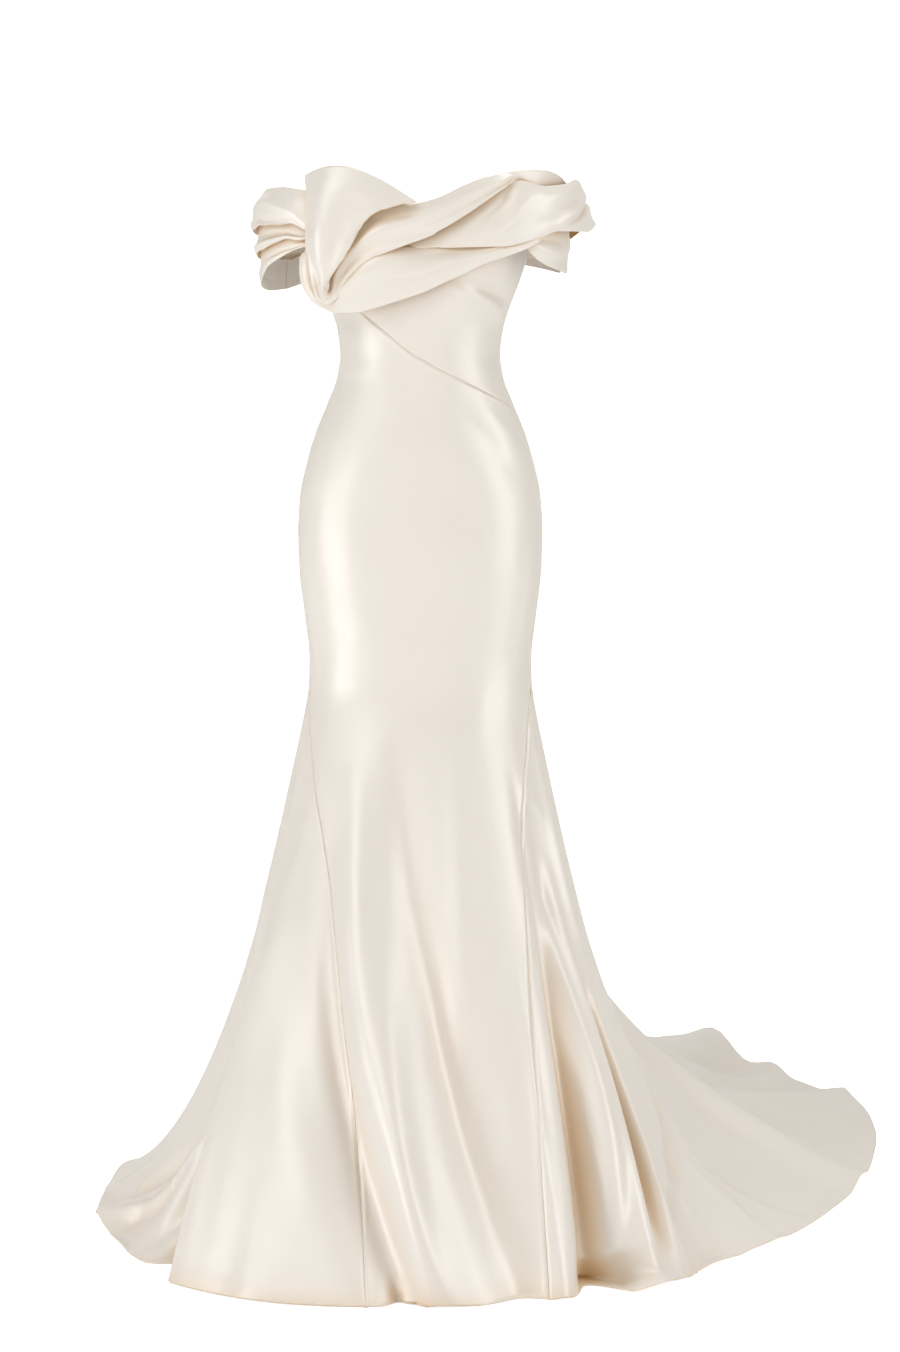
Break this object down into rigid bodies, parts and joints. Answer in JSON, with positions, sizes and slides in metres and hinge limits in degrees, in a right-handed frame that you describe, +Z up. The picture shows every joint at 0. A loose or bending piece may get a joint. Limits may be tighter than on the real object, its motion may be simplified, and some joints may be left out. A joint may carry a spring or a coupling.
{
  "type": "mermaid evening dress",
  "caption": "Off-the-shoulder mermaid evening dress in heavy ivory satin with folded crossing bands, a diagonal bodice seam, side godets and a long sweep train.",
  "frame": {"origin": "centre of the waist, 1.19 m above the floor that the hem rests on", "axes": "+Z up along the wearer, +Y to the back where the train runs, +X to the wearer's left"},
  "size_m": [1.1604, 1.6053, 1.4441],
  "materials": {
    "front_panel": "heavy satin weave",
    "bodice_front": "heavy satin weave",
    "back_left": "heavy satin weave",
    "back_right": "heavy satin weave",
    "godet_left": "heavy satin weave",
    "godet_right": "heavy satin weave",
    "bust_fold": "heavy satin weave",
    "middle_band": "heavy satin weave",
    "lower_band": "heavy satin weave",
    "sleeve_left": "heavy satin weave",
    "sleeve_right": "heavy satin weave",
    "back_drape_left": "heavy satin weave",
    "back_drape_right": "heavy satin weave",
    "zip_tape": "woven zip tape",
    "zip_slider": "satin nickel",
    "zip_pull": "satin nickel"
  },
  "bodies": {
    "gown": {"front_panel": "front_panel", "bodice_front": "bodice_front", "back_left": "back_left", "back_right": "back_right", "godet_left": "godet_left", "godet_right": "godet_right", "bust_fold": "bust_fold", "middle_band": "middle_band", "lower_band": "lower_band", "sleeve_left": "sleeve_left", "sleeve_right": "sleeve_right", "back_drape_left": "back_drape_left", "back_drape_right": "back_drape_right", "zip_tape": "zip_tape", "zip_slider": "zip_slider"},
    "pull": {"zip_pull": "zip_pull"}
  },
  "joints": [
    {"name": "pull_swing", "type": "hinge", "parent": "gown", "child": "pull", "pos_m": [0, 0.09698, 0.1396], "axis": [1, 0, 0], "range_deg": [0, 170]}
  ]
}
